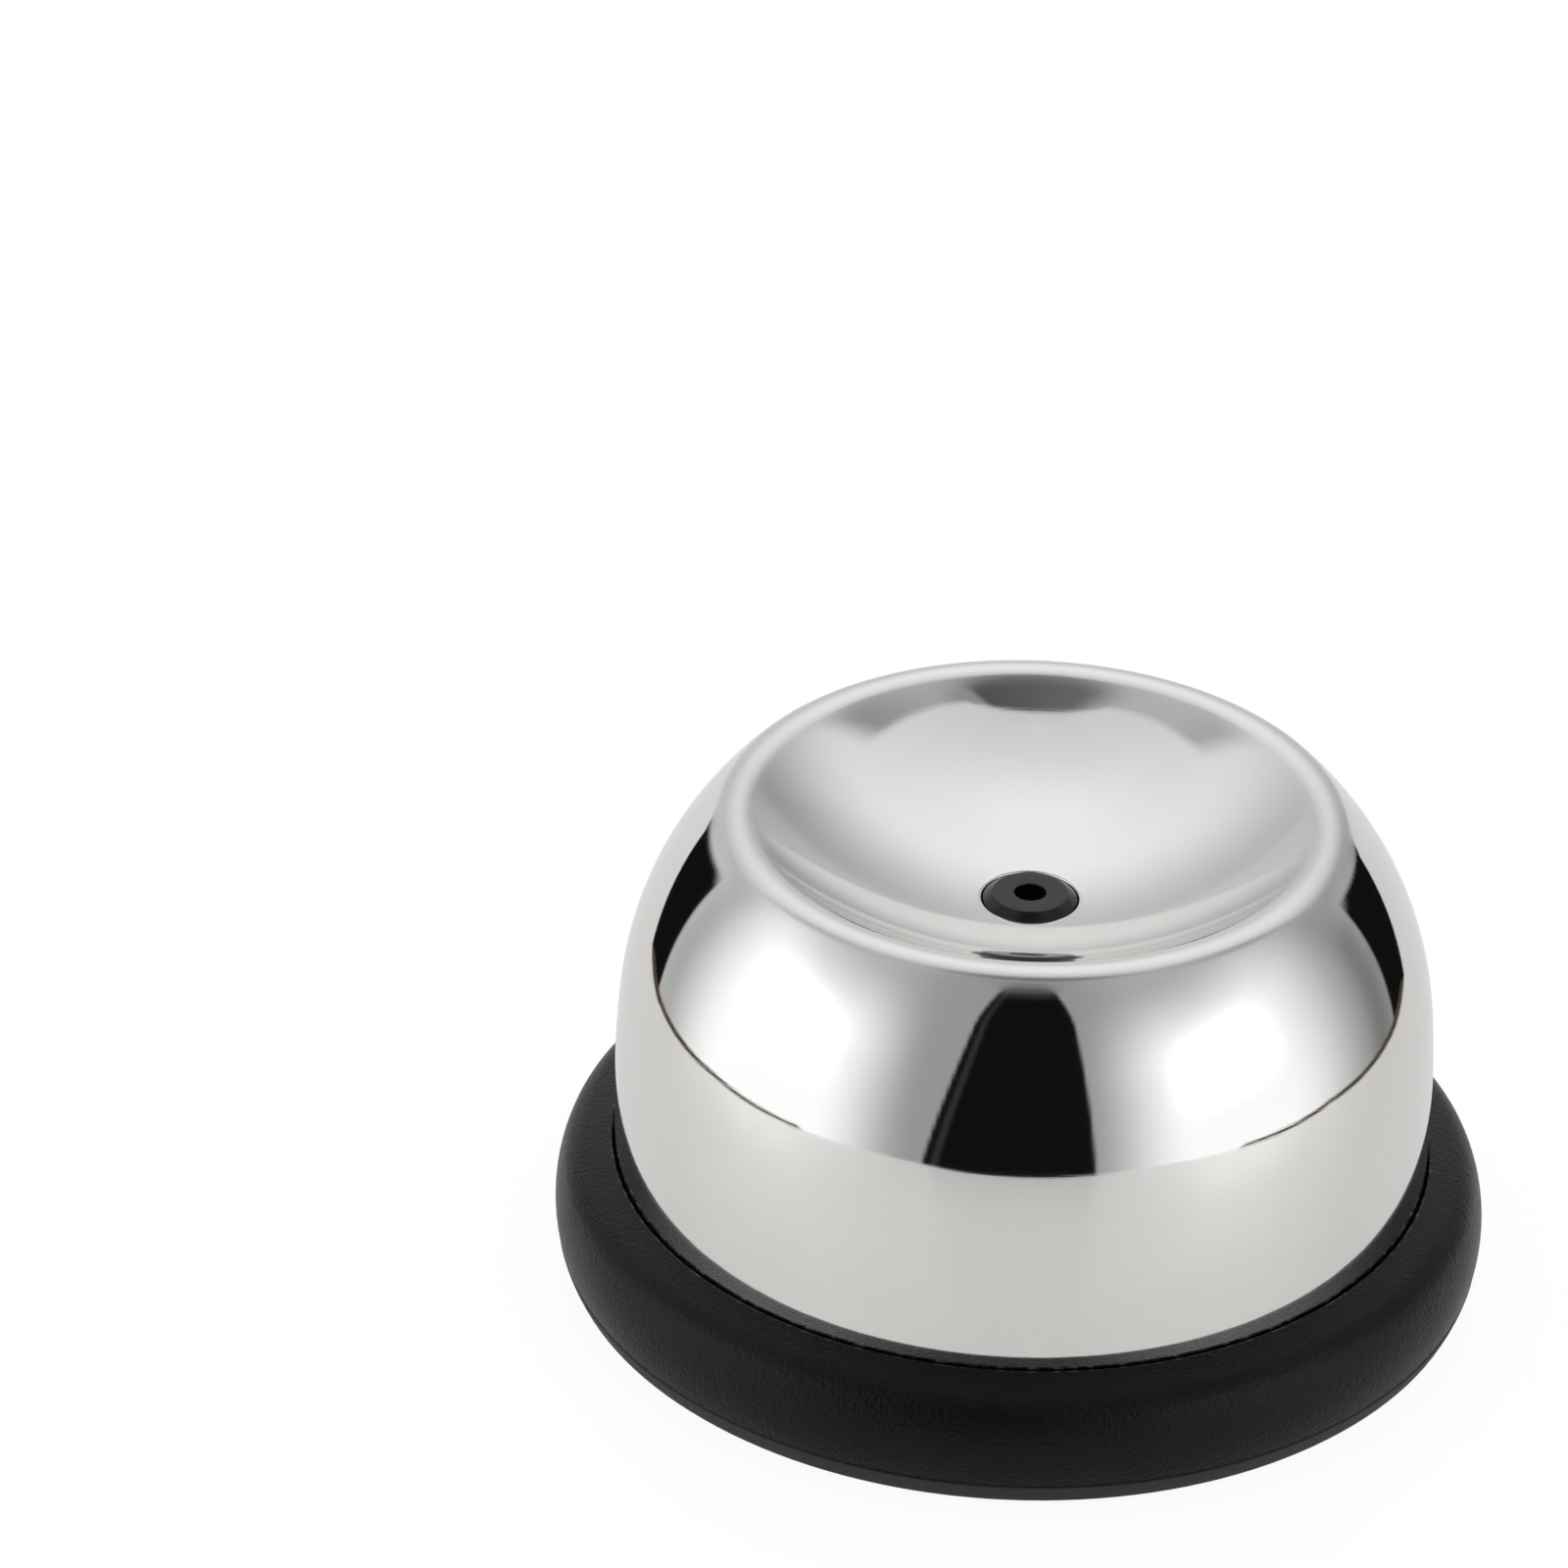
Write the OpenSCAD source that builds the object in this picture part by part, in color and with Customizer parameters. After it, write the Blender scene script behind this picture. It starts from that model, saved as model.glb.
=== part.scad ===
// Egg piercer: a polished steel bell with a dished top slides down over a fixed needle.
// The bell rests on a return spring inside a black base with a rubber ring around its foot.
// Millimetres, +Z up, origin at the centre of the underside. The bell is drawn released.

/* [Steel bell] */
// Outer diameter of the straight wall of the bell
bell_d = 56.8; // [50:0.1:64]
// Sheet thickness
sheet = 0.8; // [0.6:0.05:0.9]
// Radius of the gently curved flank above the straight wall
flank_r = 70; // [60:1:90]
// Height of that flank
flank_h = 7; // [5:0.5:9]
// Radius of the shoulder between flank and rim
shoulder_r = 24; // [22:0.5:26]
// Radius of the rolled rim
rim_r = 1.8; // [1.4:0.1:2.4]
// Radius of the dish that takes the egg
dish_r = 30.3; // [28:0.1:32]
// Height of the middle of the dish above the underside of the bell's flange
dish_h = 22.6; // [21.6:0.1:23.6]
// How far the bottom flange stands out from the wall
flange_w = 0.85; // [0.6:0.05:1.2]
// Inside bend radius where the wall turns out into the flange
bend_r = 0.4; // [0.2:0.05:0.6]

/* [Needle guide] */
// Diameter of the black guide seen in the middle of the dish
guide_d = 6.5; // [5.7:0.1:7.3]
// Height of the guide's face above the middle of the dish
guide_proud = 0.55; // [0.3:0.05:0.9]
// Width of the bevel around the guide's face
guide_bevel_w = 0.7; // [0.5:0.05:0.9]
// Height of that bevel
guide_bevel_h = 0.45; // [0.3:0.05:0.6]
// Diameter of the hole that the needle comes out of
needle_hole_d = 2.2; // [1.8:0.1:2.6]
// Diameter of the flange that the spring pushes on
guide_flange_d = 12.6; // [12.2:0.1:14]
// Thickness of that flange
guide_flange_t = 1.5; // [1:0.1:2]
// Wall of the sleeve that slides on the needle holder
sleeve_wall = 1.3; // [1:0.05:1.5]
// Length of the sleeve below the flange
sleeve_l = 11.5; // [9:0.5:13]
// How far the narrow needle hole runs on below that flange
narrow_below = 2.2; // [1.5:0.1:3]
// Rounding of the edge of the hole in the dish
collar_r = 0.3; // [0.2:0.05:0.5]
// Length of the straight neck below that rounded edge
collar_l = 1.8; // [1.4:0.1:2.2]

/* [Stroke] */
// How far the bell is pressed down
stroke = 3.5; // [2.5:0.1:4.2]
// Gap left under the bell's flange when it is pressed down
bottom_gap = 0.4; // [0.3:0.05:0.8]
// How deep the needle's point lies in the guide when the bell is released
point_depth = 0.9; // [0.6:0.1:1.4]

/* [Needle and holder] */
// Diameter of the needle
needle_d = 0.9; // [0.7:0.05:1.1]
// Length of the needle's tapered point
point_l = 2.6; // [2:0.1:3.4]
// Depth to which the needle is set in its holder
needle_set = 8; // [6:0.5:9]
// Diameter of the holder's post
post_d = 4.4; // [4:0.1:4.8]
// Room above the post when the bell is pressed down
post_room = 0.8; // [0.5:0.1:1.4]
// Diameter of the holder's seating flange
post_flange_d = 6.4; // [6:0.1:7]
// Thickness of that flange
post_flange_t = 1; // [0.8:0.1:1.4]
// Diameter of the spigot under that flange
spigot_d = 3.4; // [3.2:0.1:3.6]
// Length of the spigot
spigot_l = 1.4; // [1.2:0.1:1.8]

/* [Holder screw] */
// Thread diameter of the screw that holds the needle holder
screw_d = 2; // [1.8:0.1:2.2]
// Diameter of its head
screw_head_d = 3.8; // [3.4:0.1:4.2]
// Height of its head
screw_head_t = 1.2; // [1:0.1:1.4]
// Length of its shank
screw_l = 5; // [4.5:0.1:5.5]
// Width of the slots of its cross recess
recess_w = 0.5; // [0.4:0.05:0.6]
// Length of those slots
recess_l = 2.2; // [1.8:0.1:2.6]
// Depth of those slots
recess_t = 0.6; // [0.4:0.05:0.7]

/* [Return spring] */
// Diameter of the spring wire
wire_d = 0.8; // [0.6:0.05:0.9]
// Mean diameter of the coils
coil_d = 10; // [9.8:0.1:10.4]
// Number of turns
turns = 9; // [7:1:10]
// Gap between the closed turns at each end
closed_gap = 0.5; // [0.45:0.05:0.6]

/* [Base] */
// How far the rubber ring stands out beyond the bell's wall
ring_out = 4.1; // [3.8:0.05:5]
// Half the radial width of the ring's rounded section
bead_a = 3.3; // [3:0.05:3.6]
// Half the height of the ring's rounded section
bead_b = 5.2; // [4.8:0.1:5.6]
// Height of the widest place of the ring
bead_z = 3.75; // [3.5:0.05:4]
// Angle at which the ring's side turns into its sloping top
bead_turn = 35; // [30:1:40]
// Rounding between the ring's side and its sloping top
bead_round = 2.6; // [2.2:0.1:3]
// Thickness of the ring's lip over the retaining ring
lip_t = 1.35; // [1.2:0.05:1.6]
// Height of the joint between rubber ring and base
joint_z = 1.8; // [1.5:0.1:2.2]
// Height of the base above the table, which is what the pad stands out by
foot_gap = 0.3; // [0.2:0.05:0.5]
// Thickness of the base under the bell's flange
channel_t = 1.2; // [1:0.1:1.6]
// Thickness of the base inside the bell
floor_t = 1.3; // [1.1:0.1:1.6]
// Thickness of the wall around the bell's flange
wall_t = 0.8; // [0.7:0.05:1]
// Thickness of the retaining ring's top
retainer_t = 1; // [0.8:0.05:1.2]
// Thickness of the retaining ring's skirt
skirt_t = 0.6; // [0.5:0.05:0.8]
// Length of the retaining ring's skirt
skirt_l = 2; // [1.6:0.1:2.4]
// Depth of the snap bead that holds the retaining ring
snap = 0.2; // [0.15:0.05:0.3]
// Diameter of the boss under the needle holder
boss_d = 8.2; // [7.6:0.1:8.4]
// Height of the boss above the floor
boss_h = 2.7; // [2.4:0.1:3.2]
// Number of stiffening ribs on the floor
ribs = 6; // [3:1:8]
// Thickness of the ribs
rib_t = 1.2; // [0.8:0.1:1.6]
// Height of the ribs above the floor
rib_h = 1.6; // [1:0.1:2.2]

/* [Non-slip pad] */
// Diameter of the pad under the base
pad_d = 52; // [46:0.5:53]
// Thickness of the pad
pad_t = 1; // [0.8:0.1:1.4]

/* [Clearances] */
// Gap between the bell's wall and the lip of the rubber ring
lip_gap = 0.15; // [0.1:0.05:0.3]
// Running gap between the bell's wall and the retaining ring
wall_gap = 0.3; // [0.25:0.05:0.5]
// Gap around the bell's flange
flange_gap = 0.25; // [0.2:0.05:0.4]
// Gap between the flange and its stop when the bell is released
stop_gap = 0.1; // [0.05:0.05:0.2]
// Radial gap of the guide in the hole of the dish
collar_gap = 0.05; // [0.04:0.01:0.1]
// Radial running gap between sleeve and post
slide_gap = 0.1; // [0.06:0.02:0.16]
// Radial gap of pieces that are seated in each other
seat_gap = 0.05; // [0.03:0.01:0.08]
// Radial gap of the needle and the screw thread in the holder
thread_gap = 0.02; // [0.01:0.01:0.03]
// Gap around the head of the holder screw
head_gap = 0.2; // [0.15:0.05:0.3]

/* [Hidden] */
$fn = 96;
arc_steps = 12;
fine_steps = 8;
bell_black = [0.05, 0.05, 0.055];

// Bell and base radii, from the axis outwards
bell_r = bell_d / 2;
flange_r = bell_r + flange_w;
lip_r = bell_r + lip_gap;
retainer_in_r = bell_r + wall_gap;
wall_in_r = flange_r + flange_gap;
wall_out_r = wall_in_r + wall_t;
skirt_in_r = wall_out_r + seat_gap;
skirt_out_r = skirt_in_r + skirt_t;
ring_in_r = skirt_out_r + seat_gap;
ring_r = bell_r + ring_out;
bead_x = ring_r - bead_a;

// Heights of the base, from the table upwards
pad_top = pad_t;
floor_top = pad_top + floor_t;
channel_top = foot_gap + channel_t;
bell_z = channel_top + bottom_gap + stroke;
retainer_z = bell_z + sheet + stop_gap;
lip_z = retainer_z + retainer_t + seat_gap;
ring_top = lip_z + lip_t;
channel_in_r = bell_r - sheet - flange_gap - seat_gap;

// Bell profile: straight wall, flank, shoulder, rolled rim, dish and collar
straight_margin = 1.15;
straight_z = ring_top + stroke + straight_margin;
flank_angle = asin(flank_h / flank_r);
flank_c = [bell_r - flank_r, straight_z];
shoulder_c = [
    flank_c.x + (flank_r - shoulder_r) * cos(flank_angle),
    flank_c.y + (flank_r - shoulder_r) * sin(flank_angle)
];
dish_z = bell_z + dish_h;
dish_c = [0, dish_z + dish_r];
rim_c = rim_centre();
shoulder_end = heading(shoulder_c, rim_c);
dish_edge = heading(dish_c, rim_c);
collar_bore_r = guide_d / 2 + collar_gap;
collar_c = [
    collar_bore_r + collar_r,
    dish_c.y - sqrt(pow(dish_r + collar_r, 2) - pow(collar_bore_r + collar_r, 2))
];
dish_start = heading(dish_c, collar_c);
neck_z = collar_c.y - collar_l;
neck_r = collar_bore_r + sheet;
neck_start = -acos(neck_r / (dish_r + sheet));
bend_c = [bell_r + bend_r, bell_z + sheet + bend_r];

// Needle guide, needle and holder, along the axis
guide_top = dish_z + guide_proud;
guide_flange_z = neck_z - guide_flange_t;
sleeve_z = guide_flange_z - sleeve_l;
sleeve_in_r = post_d / 2 + slide_gap;
sleeve_out_r = sleeve_in_r + sleeve_wall;
boss_top = floor_top + boss_h;
post_z = boss_top + post_flange_t;
needle_tip = guide_top - point_depth;
narrow_z = guide_flange_z - narrow_below;
post_top = narrow_z - stroke - post_room;
needle_z = post_top - needle_set;
spigot_z = boss_top - spigot_l;
screw_seat = floor_top + seat_gap;
screw_top = screw_seat + screw_l;
thread_end_room = 0.5;
rib_room = 2;
rib_end = 1;
rib_in_r = (coil_d + wire_d) / 2 + rib_room;
rib_out_r = channel_in_r - rib_end;

// Geometry helpers, all in the (radius, height) plane

function heading(from, to) = atan2(to.y - from.y, to.x - from.x);

function arc(c, r, a0, a1, n = arc_steps) =
    [for (i = [0:n]) let (a = a0 + (a1 - a0) * i / n) [c.x + r * cos(a), c.y + r * sin(a)]];

function backwards(points) = [for (i = [len(points) - 1:-1:0]) points[i]];

// Centre of the rolled rim, tangent inside the shoulder circle and outside the dish circle
function rim_centre() =
    let (
        inner = shoulder_r - rim_r,
        outer = dish_r + rim_r,
        d = norm(dish_c - shoulder_c),
        u = (dish_c - shoulder_c) / d,
        along = (inner * inner - outer * outer + d * d) / (2 * d),
        across = sqrt(inner * inner - along * along)
    )
    [shoulder_c.x + along * u.x + across * u.y, shoulder_c.y + along * u.y - across * u.x];

// One face of the bell's sheet, depth below the polished face, from the wall to the end of the dish
function bell_face(depth, dish_end) = concat(
    arc(flank_c, flank_r - depth, 0, flank_angle, fine_steps / 2),
    arc(shoulder_c, shoulder_r - depth, flank_angle, shoulder_end),
    arc(rim_c, rim_r - depth, shoulder_end, dish_edge + 180, fine_steps),
    arc(dish_c, dish_r + depth, dish_edge, dish_end)
);

// Outline of the ring's rounded section between two heights on its outer side
function bead(z0, z1) =
    let (a0 = asin((z0 - bead_z) / bead_b), a1 = asin((z1 - bead_z) / bead_b))
    [for (i = [0:arc_steps]) let (a = a0 + (a1 - a0) * i / arc_steps)
        [bead_x + bead_a * cos(a), bead_z + bead_b * sin(a)]];

// Pieces that move with the bell

module steel_bell() {
    flange_top = bell_z + sheet;
    color("silver")
    rotate_extrude()
    polygon(concat(
        [[flange_r, bell_z], [flange_r, flange_top]],
        arc(bend_c, bend_r, 270, 180, fine_steps),
        bell_face(0, dish_start),
        arc(collar_c, collar_r, dish_start + 180, 180, fine_steps / 2),
        [[collar_bore_r, neck_z], [neck_r, neck_z]],
        backwards(bell_face(sheet, neck_start)),
        arc(bend_c, bend_r + sheet, 180, 270, fine_steps)
    ));
}

module needle_guide() {
    barrel_r = guide_d / 2;
    color(bell_black)
    difference() {
        rotate_extrude()
        polygon(concat(
            [[0, sleeve_z], [sleeve_out_r, sleeve_z], [sleeve_out_r, guide_flange_z]],
            [[guide_flange_d / 2, guide_flange_z], [guide_flange_d / 2, neck_z], [barrel_r, neck_z]],
            [[barrel_r, guide_top - guide_bevel_h], [barrel_r - guide_bevel_w, guide_top], [0, guide_top]]
        ));
        translate([0, 0, sleeve_z - 1]) cylinder(r = sleeve_in_r, h = narrow_z - sleeve_z + 1);
        translate([0, 0, narrow_z - 1]) cylinder(d = needle_hole_d, h = guide_top - narrow_z + 2);
    }
}

// Pieces of the base

module base_ring() {
    lip = [lip_r, ring_top];
    side_end = [bead_x + bead_a * cos(bead_turn), bead_z + bead_b * sin(bead_turn)];
    side_normal = atan2(sin(bead_turn) / bead_b, cos(bead_turn) / bead_a);
    round_c = side_end - bead_round * [cos(side_normal), sin(side_normal)];
    top_normal = heading(round_c, lip) - acos(bead_round / norm(lip - round_c));
    color("black")
    rotate_extrude()
    polygon(concat(
        [[ring_in_r, joint_z]],
        bead(joint_z, side_end.y),
        arc(round_c, bead_round, side_normal, top_normal, fine_steps),
        [lip, [lip_r, lip_z], [ring_in_r, lip_z]]
    ));
}

module retaining_ring() {
    skirt_z = retainer_z - skirt_l;
    snap_z = skirt_z + skirt_l / 3;
    color("dimgray")
    rotate_extrude()
    polygon([
        [retainer_in_r, retainer_z], [retainer_in_r, retainer_z + retainer_t],
        [skirt_out_r, retainer_z + retainer_t], [skirt_out_r, skirt_z], [skirt_in_r, skirt_z],
        [skirt_in_r, snap_z - snap], [skirt_in_r - snap, snap_z], [skirt_in_r, snap_z + snap],
        [skirt_in_r, retainer_z]
    ]);
}

module base_section() {
    snap_z = retainer_z - skirt_l * 2 / 3;
    groove = snap + seat_gap;
    pad_r = pad_d / 2 + seat_gap;
    polygon(concat(
        [[0, pad_top], [pad_r, pad_top], [pad_r, foot_gap]],
        bead(foot_gap, joint_z),
        [[wall_out_r, joint_z], [wall_out_r, snap_z - groove], [wall_out_r - snap, snap_z]],
        [[wall_out_r, snap_z + groove], [wall_out_r, retainer_z], [wall_in_r, retainer_z]],
        [[wall_in_r, channel_top], [channel_in_r, channel_top], [channel_in_r, floor_top]],
        [[boss_d / 2, floor_top], [boss_d / 2, boss_top], [0, boss_top]]
    ));
}

module base_body() {
    color(bell_black)
    difference() {
        union() {
            rotate_extrude() base_section();
            for (i = [0:ribs - 1])
                rotate([0, 0, i * 360 / ribs])
                translate([rib_in_r, -rib_t / 2, floor_top])
                cube([rib_out_r - rib_in_r, rib_t, rib_h]);
        }
        translate([0, 0, spigot_z - seat_gap])
            cylinder(d = spigot_d + 2 * seat_gap, h = spigot_l + 1);
        cylinder(d = screw_d + 2 * head_gap, h = boss_top);
        cylinder(d = screw_head_d + 2 * head_gap, h = screw_seat);
    }
}

module non_slip_pad() {
    color("black") cylinder(d = pad_d, h = pad_t);
}

// Return spring: one wire along a helix whose end turns are closed and ground flat

spring_l = guide_flange_z - floor_top;
wire_sides = 6;
rings_per_turn = 12;
closed_turns = 1;
ground = wire_d / 4;
closed_pitch = wire_d + closed_gap;
centre_l = spring_l - wire_d + 2 * ground;
open_pitch = (centre_l - 2 * closed_turns * closed_pitch) / (turns - 2 * closed_turns);

// Height of the wire's centre above the floor after a number of turns
function wire_height(turn) =
    let (open_turns = turns - 2 * closed_turns)
    wire_d / 2 - ground
    + closed_pitch * min(turn, closed_turns)
    + open_pitch * max(0, min(turn - closed_turns, open_turns))
    + closed_pitch * max(0, turn - closed_turns - open_turns);

wire_rings = turns * rings_per_turn;
wire_points = [for (i = [0:wire_rings])
    let (a = 360 * i / rings_per_turn, z = floor_top + wire_height(i / rings_per_turn))
    for (k = [0:wire_sides - 1])
        let (b = 360 * k / wire_sides, r = coil_d / 2 + wire_d / 2 * cos(b))
        [r * cos(a), r * sin(a), z + wire_d / 2 * sin(b)]];
wire_faces = concat(
    [for (k = [1:wire_sides - 2]) [0, k, k + 1]],
    [for (i = [0:wire_rings - 1], k = [0:wire_sides - 1])
        [i * wire_sides + k, (i + 1) * wire_sides + k, (i + 1) * wire_sides + (k + 1) % wire_sides]],
    [for (i = [0:wire_rings - 1], k = [0:wire_sides - 1])
        [i * wire_sides + k, (i + 1) * wire_sides + (k + 1) % wire_sides,
            i * wire_sides + (k + 1) % wire_sides]],
    [for (k = [1:wire_sides - 2])
        [wire_rings * wire_sides, wire_rings * wire_sides + k + 1, wire_rings * wire_sides + k]]
);
turn_gaps = [for (i = [0:wire_rings - rings_per_turn])
    wire_height(i / rings_per_turn + 1) - wire_height(i / rings_per_turn) - wire_d];
echo(least_gap_between_spring_turns = min(turn_gaps));

module return_spring() {
    color("lightgray")
    intersection() {
        polyhedron(wire_points, wire_faces);
        translate([-coil_d, -coil_d, floor_top]) cube([2 * coil_d, 2 * coil_d, spring_l]);
    }
}

module needle_holder() {
    color("goldenrod")
    difference() {
        union() {
            translate([0, 0, spigot_z]) cylinder(d = spigot_d, h = spigot_l);
            translate([0, 0, boss_top]) cylinder(d = post_flange_d, h = post_flange_t);
            translate([0, 0, post_z]) cylinder(d = post_d, h = post_top - post_z);
        }
        translate([0, 0, needle_z]) cylinder(d = needle_d + 2 * thread_gap, h = needle_set + 1);
        translate([0, 0, spigot_z - 1])
            cylinder(d = screw_d + 2 * thread_gap, h = screw_top + thread_end_room - spigot_z + 1);
    }
}

module needle() {
    needle_r = needle_d / 2;
    color("gainsboro")
    rotate_extrude()
    polygon([[0, needle_z], [needle_r, needle_z], [needle_r, needle_tip - point_l], [0, needle_tip]]);
}

module holder_screw() {
    head_z = screw_seat - screw_head_t;
    color("silver")
    difference() {
        union() {
            translate([0, 0, head_z]) cylinder(d = screw_head_d, h = screw_head_t);
            translate([0, 0, screw_seat]) cylinder(d = screw_d, h = screw_l);
        }
        for (turn = [0, 90])
            rotate([0, 0, turn])
            translate([-recess_l / 2, -recess_w / 2, head_z - 1])
            cube([recess_l, recess_w, recess_t + 1]);
    }
}

steel_bell();
needle_guide();
base_ring();
retaining_ring();
base_body();
non_slip_pad();
return_spring();
needle_holder();
needle();
holder_screw();
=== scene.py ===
# %% [markdown]
# # An egg piercer in polished steel and black rubber
# A steel bell with a dished top stands in a thick rubber ring. An egg is pressed into the dish, the
# bell slides down, and a needle that is fixed in the base comes out of the black guide in the middle.
# The CAD model gives every piece its place, and this file gives the pieces their fine shapes and
# finishes.

# %% Load the CAD model
import math
import bmesh
import bpy
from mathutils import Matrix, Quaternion, Vector


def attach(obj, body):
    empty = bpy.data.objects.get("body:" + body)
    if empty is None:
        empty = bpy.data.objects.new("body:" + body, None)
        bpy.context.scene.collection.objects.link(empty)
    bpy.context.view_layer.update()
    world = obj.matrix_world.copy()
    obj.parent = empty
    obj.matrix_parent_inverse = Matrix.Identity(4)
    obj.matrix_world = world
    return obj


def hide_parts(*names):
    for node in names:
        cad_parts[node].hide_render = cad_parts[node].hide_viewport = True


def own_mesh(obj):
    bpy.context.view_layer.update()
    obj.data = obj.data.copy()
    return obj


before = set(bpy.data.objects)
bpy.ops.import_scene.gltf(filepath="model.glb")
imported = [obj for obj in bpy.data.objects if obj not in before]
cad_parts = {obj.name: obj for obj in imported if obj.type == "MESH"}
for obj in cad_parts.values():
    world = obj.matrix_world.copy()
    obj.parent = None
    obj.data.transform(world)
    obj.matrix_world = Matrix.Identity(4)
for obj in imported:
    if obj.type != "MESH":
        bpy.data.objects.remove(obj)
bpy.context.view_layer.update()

scene = bpy.context.scene

# %% [markdown]
# ## Turned pieces
# Nearly every piece of this tool is round, so one rule makes them: an outline of radius and height is
# turned about the axis. A Screw modifier would do it as well. Geometry Nodes are used here because the
# rule then stands in one small tree with named inputs: a grid of points is laid out, and each point
# takes its radius and height from the outline and its angle from its place along the grid.

# %% A tree that turns an outline about the axis
MM = 0.001
merge_distance = 0.0005 * MM


def add_socket(tree, name, direction, kind):
    return tree.interface.new_socket(name, in_out=direction, socket_type="NodeSocket" + kind)


def add_math(tree, operation, first, second=None):
    node = tree.nodes.new("ShaderNodeMath")
    node.operation = operation
    for socket, value in zip(node.inputs, (first, second)):
        if isinstance(value, bpy.types.NodeSocket):
            tree.links.new(value, socket)
        elif value is not None:
            socket.default_value = value
    return node.outputs[0]


def make_lathe_tree():
    tree = bpy.data.node_groups.new("Lathe", "GeometryNodeTree")
    add_socket(tree, "Outline", "INPUT", "Geometry")
    add_socket(tree, "Outline Points", "INPUT", "Int")
    add_socket(tree, "Segments", "INPUT", "Int")
    add_socket(tree, "Finish", "INPUT", "Material")
    add_socket(tree, "Solid", "OUTPUT", "Geometry")
    link = tree.links.new
    given = tree.nodes.new("NodeGroupInput").outputs
    around = add_math(tree, "ADD", given["Segments"], 1)
    grid = tree.nodes.new("GeometryNodeMeshGrid")
    link(given["Outline Points"], grid.inputs["Vertices X"])
    link(around, grid.inputs["Vertices Y"])
    index = tree.nodes.new("GeometryNodeInputIndex").outputs[0]
    ring = add_math(tree, "FLOOR", add_math(tree, "DIVIDE", add_math(tree, "ADD", index, 0.5), around))
    step = add_math(tree, "SUBTRACT", index, add_math(tree, "MULTIPLY", ring, around))
    angle = add_math(tree, "DIVIDE", add_math(tree, "MULTIPLY", step, 2 * math.pi), given["Segments"])
    sample = tree.nodes.new("GeometryNodeSampleIndex")
    sample.data_type = "FLOAT_VECTOR"
    link(given["Outline"], sample.inputs["Geometry"])
    link(tree.nodes.new("GeometryNodeInputPosition").outputs[0], sample.inputs["Value"])
    link(ring, sample.inputs["Index"])
    point = tree.nodes.new("ShaderNodeSeparateXYZ")
    link(sample.outputs[0], point.inputs[0])
    turned = tree.nodes.new("ShaderNodeCombineXYZ")
    radius = point.outputs["X"]
    link(add_math(tree, "MULTIPLY", radius, add_math(tree, "COSINE", angle)), turned.inputs["X"])
    link(add_math(tree, "MULTIPLY", radius, add_math(tree, "SINE", angle)), turned.inputs["Y"])
    link(point.outputs["Z"], turned.inputs["Z"])
    place = tree.nodes.new("GeometryNodeSetPosition")
    link(grid.outputs["Mesh"], place.inputs["Geometry"])
    link(turned.outputs[0], place.inputs["Position"])
    merge = tree.nodes.new("GeometryNodeMergeByDistance")
    merge.inputs["Distance"].default_value = merge_distance
    link(place.outputs[0], merge.inputs["Geometry"])
    realize = tree.nodes.new("GeometryNodeRealizeInstances")
    link(merge.outputs[0], realize.inputs[0])
    paint = tree.nodes.new("GeometryNodeSetMaterial")
    link(realize.outputs[0], paint.inputs["Geometry"])
    link(given["Finish"], paint.inputs["Material"])
    link(paint.outputs[0], tree.nodes.new("NodeGroupOutput").inputs[0])
    return tree


lathe_tree = make_lathe_tree()
print("lathe tree nodes:", len(lathe_tree.nodes))

# %% From a tree to a finished piece


def run_tree(name, tree, start_mesh, inputs):
    """Runs a tree on a start mesh and keeps the result as a plain mesh object."""
    source = bpy.data.objects.new(name + "_source", start_mesh)
    scene.collection.objects.link(source)
    modifier = source.modifiers.new("Tree", "NODES")
    modifier.node_group = tree
    for item in tree.interface.items_tree:
        if item.in_out == "INPUT" and item.name in inputs:
            modifier[item.identifier] = inputs[item.name]
    evaluated = source.evaluated_get(bpy.context.evaluated_depsgraph_get())
    mesh = bpy.data.meshes.new_from_object(evaluated)
    source.modifiers.remove(modifier)
    bpy.data.objects.remove(source)
    piece = bpy.data.objects.new(name, mesh)
    mesh.name = name
    scene.collection.objects.link(piece)
    return piece


def smooth(piece, sharp_angle=32):
    """Points the faces outwards, and shades smooth but for the sharp edges."""
    work = bmesh.new()
    work.from_mesh(piece.data)
    bmesh.ops.dissolve_degenerate(work, dist=0.0002 * MM, edges=work.edges)
    bmesh.ops.recalc_face_normals(work, faces=work.faces)
    work.to_mesh(piece.data)
    work.free()
    piece.data.shade_smooth()
    piece.data.set_sharp_from_angle(angle=math.radians(sharp_angle))
    print(piece.name, "has", len(piece.data.polygons), "faces")
    return piece


def turn(name, outline, finish, segments=192):
    """Turns a closed outline, a list of (radius, height) in millimetres, into a solid."""
    closed = outline + outline[:1]
    mesh = bpy.data.meshes.new(name + "_outline")
    mesh.from_pydata([(r * MM, 0, z * MM) for r, z in closed], [], [])
    sizes = {"Outline Points": len(closed), "Segments": segments, "Finish": finish}
    return smooth(run_tree(name, lathe_tree, mesh, sizes))


def fit(piece, body, node):
    """Ties a piece to its CAD body, and hides the CAD node that it stands in for."""
    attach(piece, body)
    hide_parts(node)


# %% Outline helpers


def arc(centre, radius, start, end, steps=16):
    """Points on an arc, angles in degrees."""
    angles = [math.radians(start + (end - start) * i / steps) for i in range(steps + 1)]
    return [(centre[0] + radius * math.cos(a), centre[1] + radius * math.sin(a)) for a in angles]


def line(start, end, steps=8):
    """Evenly spaced points between two points, both left out."""
    shares = [i / steps for i in range(1, steps)]
    return [(start[0] + (end[0] - start[0]) * s, start[1] + (end[1] - start[1]) * s) for s in shares]


def heading(start, end):
    return math.degrees(math.atan2(end[1] - start[1], end[0] - start[0]))


print("arc and line helpers ready")

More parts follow.
